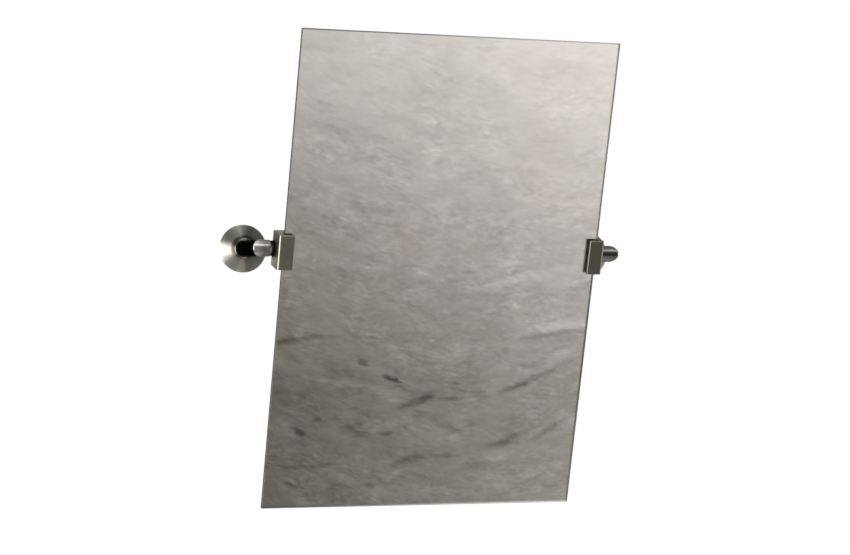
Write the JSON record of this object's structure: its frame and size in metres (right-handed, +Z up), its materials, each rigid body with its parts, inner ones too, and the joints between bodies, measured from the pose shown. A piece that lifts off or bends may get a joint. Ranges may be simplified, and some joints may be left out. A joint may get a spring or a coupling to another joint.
{
  "type": "pivot wall mirror",
  "caption": "Frameless rectangular wall mirror held by satin metal clamps that pivot on mitred arms standing out from round wall flanges, so the glass tilts and stays put.",
  "frame": {"origin": "on the wall plane, midway between the two wall plates, level with the pivot line", "axes": "+Z up, +Y into the wall, +X to the right as seen by someone facing the mirror; the object stands in front of the wall at negative Y"},
  "size_m": [0.53, 0.164, 0.5914],
  "materials": {
    "clear_glass": "polished flat glass with a small polished arris",
    "silver": "silvered, seen through the glass",
    "backing_paint": "matt protective paint",
    "satin_nickel": "fine brushed nickel plate",
    "soft_liner": "soft matt vinyl",
    "bright_steel": "machined steel",
    "zinc_steel": "zinc plated steel",
    "spring_steel": "blackened spring steel",
    "black_nylon": "moulded black nylon",
    "white_nylon": "natural nylon"
  },
  "bodies": {
    "wall_arms": {"left_arm": "satin_nickel", "left_collar": "satin_nickel", "left_flange": "satin_nickel", "left_flange_screw": "bright_steel", "left_friction_screw": "bright_steel", "left_friction_tip": "white_nylon", "left_friction_washer": "black_nylon", "left_pivot_bush": "white_nylon", "left_post_screw": "bright_steel", "left_spring_washer": "spring_steel", "left_wall_plate": "zinc_steel", "right_arm": "satin_nickel", "right_collar": "satin_nickel", "right_flange": "satin_nickel", "right_flange_screw": "bright_steel", "right_friction_screw": "bright_steel", "right_friction_tip": "white_nylon", "right_friction_washer": "black_nylon", "right_pivot_bush": "white_nylon", "right_post_screw": "bright_steel", "right_spring_washer": "spring_steel", "right_wall_plate": "zinc_steel"},
    "mirror": {"backing_paint": "backing_paint", "left_clamp_body": "satin_nickel", "left_clamp_liner": "soft_liner", "left_clamp_screws": "bright_steel", "left_pivot_pin": "bright_steel", "left_pressure_plate": "bright_steel", "mirror_glass": "clear_glass", "right_clamp_body": "satin_nickel", "right_clamp_liner": "soft_liner", "right_clamp_screws": "bright_steel", "right_pivot_pin": "bright_steel", "right_pressure_plate": "bright_steel", "silver_coating": "silver"}
  },
  "joints": [
    {"name": "mirror_tilt", "type": "hinge", "parent": "wall_arms", "child": "mirror", "pos_m": [0, -0.076, 0], "axis": [1, 0, 0], "range_deg": [-33, 1]}
  ]
}
